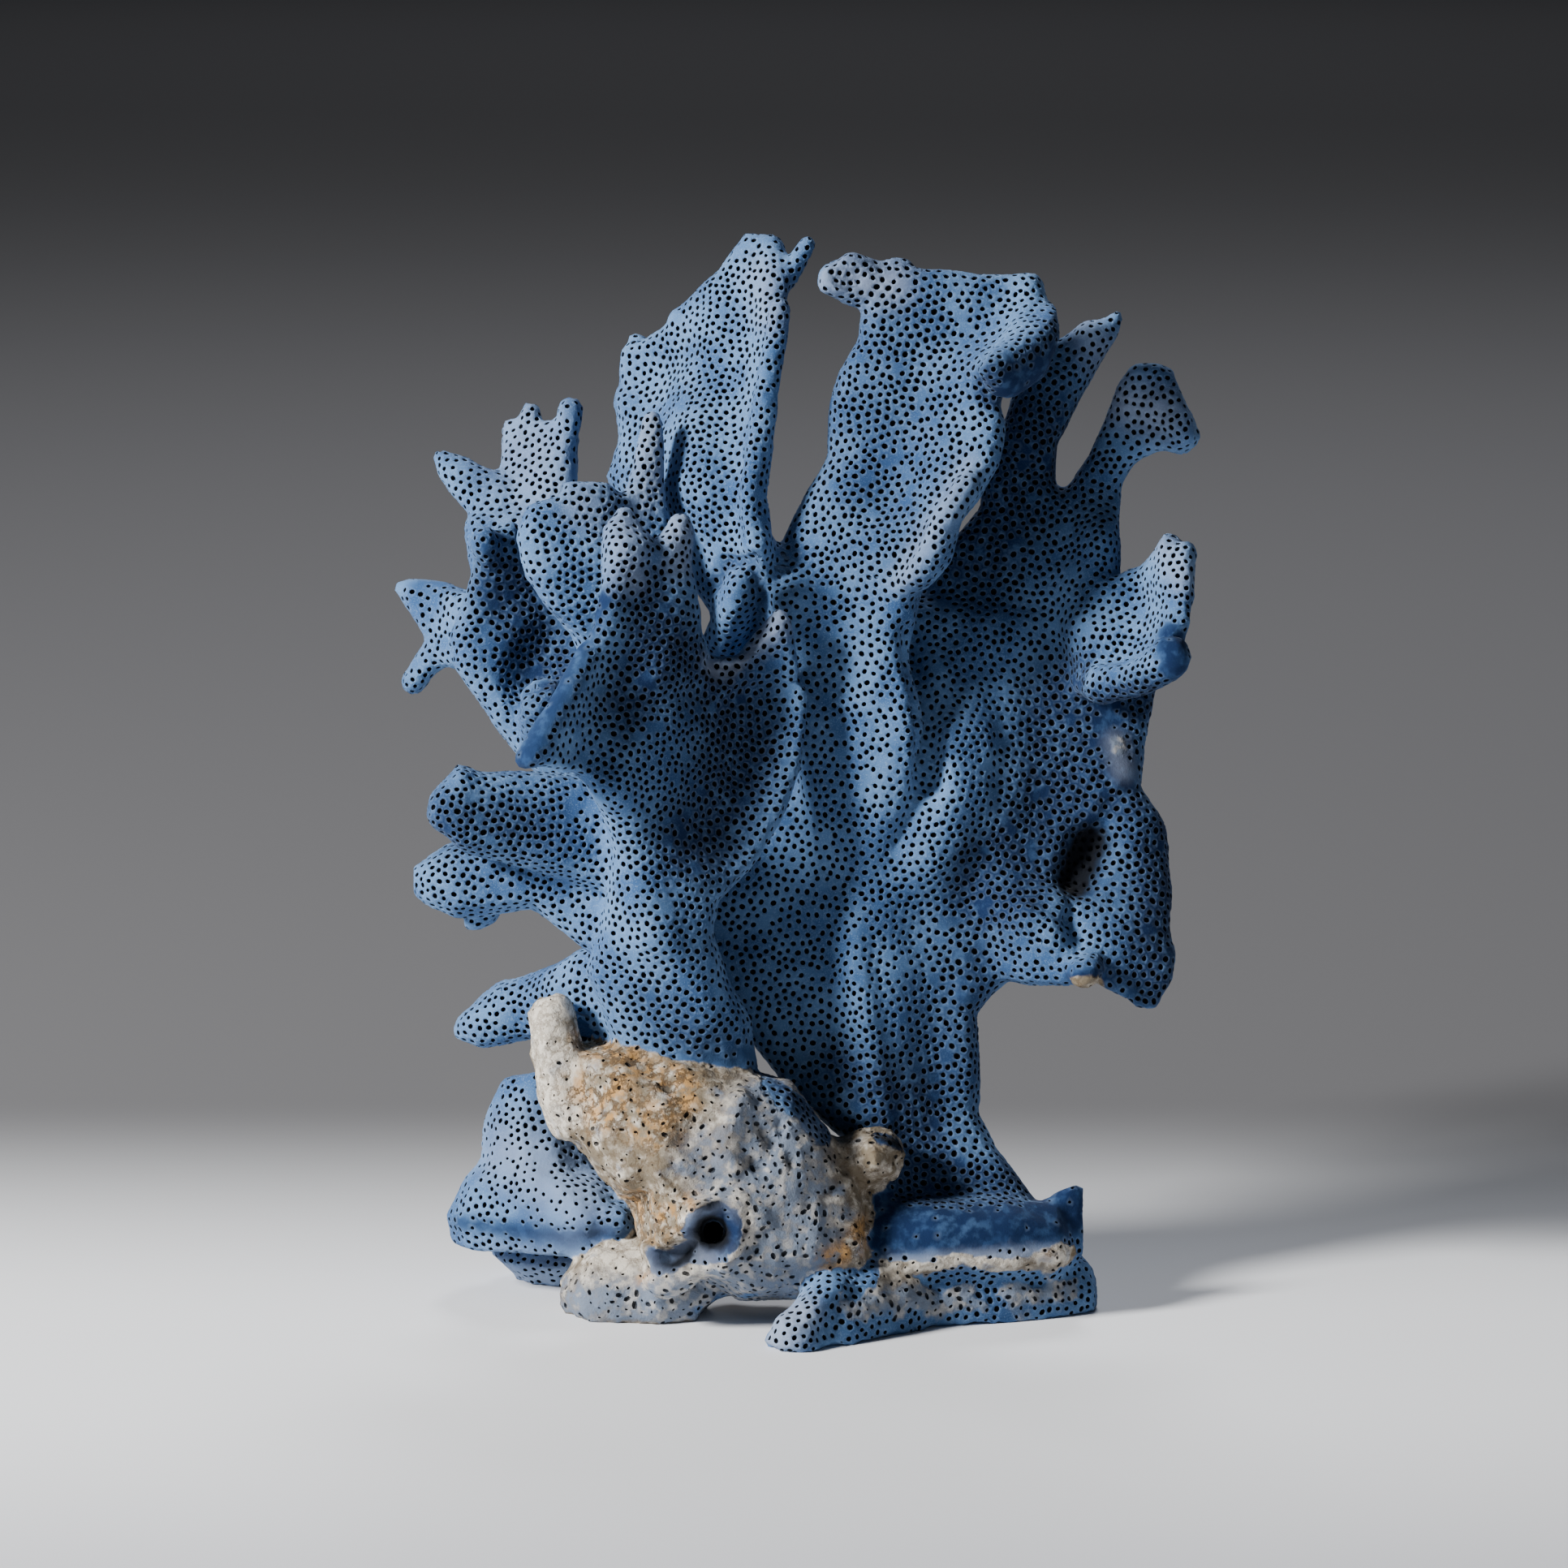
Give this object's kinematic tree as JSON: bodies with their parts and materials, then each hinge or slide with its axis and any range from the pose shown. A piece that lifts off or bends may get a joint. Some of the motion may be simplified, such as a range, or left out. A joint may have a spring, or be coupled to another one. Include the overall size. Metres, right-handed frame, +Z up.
{
  "type": "blue coral",
  "caption": "Branching blue coral of thin porous blades, a front leaf with side arms, finger-like tips and a pale crusted rock base cut off flat.",
  "frame": {"origin": "middle of the bounding box's base, on the surface the coral stands on", "axes": "+X to the right as seen from the front, +Y to the back, +Z up"},
  "size_m": [0.111, 0.0652, 0.1436],
  "materials": {
    "blue_coral": "dusty slate-blue coral skeleton, matt, pitted all over with fine round pores, smoother and darker blue along some margins",
    "crust": "cream to off-white lime crust, rough and matt, with ochre stains, grey-blue patches and scattered dark pits"
  },
  "bodies": {
    "root": {"base_rock": "crust", "left_foot": "blue_coral", "ledge": "blue_coral", "main_blade": "blue_coral", "centre_blade": "blue_coral", "left_tall_blade": "blue_coral", "right_fan": "blue_coral", "right_ear": "blue_coral", "lower_right_lobe": "blue_coral", "left_branch": "blue_coral", "paddle": "blue_coral", "back_hand": "blue_coral", "far_left_fork": "blue_coral", "front_leaf": "blue_coral", "upper_arm": "blue_coral", "middle_arm": "blue_coral", "lower_arm": "blue_coral"}
  },
  "joints": []
}
